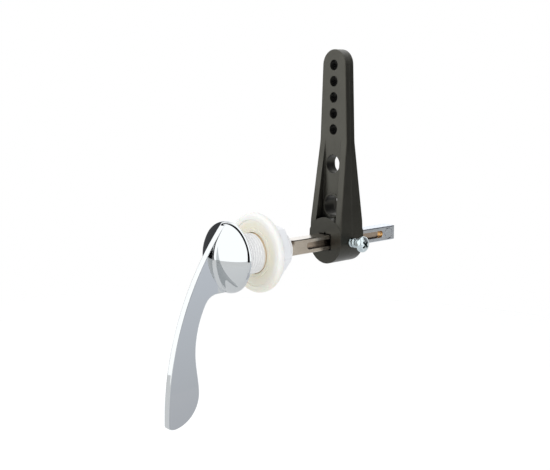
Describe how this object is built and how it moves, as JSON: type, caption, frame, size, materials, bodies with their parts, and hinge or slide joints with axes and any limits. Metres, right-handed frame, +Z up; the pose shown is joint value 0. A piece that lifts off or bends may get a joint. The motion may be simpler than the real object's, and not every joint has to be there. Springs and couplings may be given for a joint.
{
  "type": "cistern lever",
  "caption": "Cistern lever: chromed handle on a square spindle in a threaded bush with sealing washer and back nut, and a black lift arm with link holes clamped by a screw.",
  "frame": {"origin": "on the spindle's axis, in the plane where the bush's head seats on the cistern's outer wall", "axes": "+Y along the spindle into the cistern, +Z up along the lift arm, +X the side that the clamp screw is driven from"},
  "size_m": [0.0402, 0.1492, 0.1724],
  "materials": {
    "handle_chrome": "mirror-polished chrome plating on a zinc casting",
    "spindle_zinc": "plated zinc casting, grainy with small pits",
    "white_nylon": "natural white nylon",
    "cream_plastic": "soft cream plastic",
    "nut_plastic": "white moulded plastic",
    "black_plastic": "black moulded plastic, satin",
    "screw_steel": "bright zinc plating"
  },
  "bodies": {
    "bush": {"bush": "white_nylon"},
    "lever": {"handle": "handle_chrome", "spindle": "spindle_zinc"},
    "arm": {"lift_arm": "black_plastic"},
    "screw": {"clamp_screw": "screw_steel"},
    "washer": {"sealing_washer": "cream_plastic"},
    "nut": {"back_nut": "nut_plastic"}
  },
  "joints": [
    {"name": "lever_turn", "type": "hinge", "parent": "bush", "child": "lever", "pos_m": [0, 0, 0], "axis": [0, 1, 0], "range_deg": [-90, 90]},
    {"name": "arm_slide", "type": "slide", "parent": "lever", "child": "arm", "axis": [0, 1, 0], "range_m": [-0.0226, 0.0301]},
    {"name": "screw_draw", "type": "slide", "parent": "arm", "child": "screw", "axis": [1, 0, 0], "range_m": [0, 0.006]},
    {"name": "washer_slide", "type": "slide", "parent": "bush", "child": "washer", "axis": [0, 1, 0], "range_m": [-0.00975, 0.00413]},
    {"name": "nut_turn", "type": "hinge", "parent": "washer", "child": "nut", "pos_m": [0, 0, 0], "axis": [0, 1, 0], "range_deg": [-2340, 990]}
  ],
  "couplings": [
    {"joint": "washer_slide", "follows": "nut_turn", "m_per_rad": 0.00023873}
  ]
}
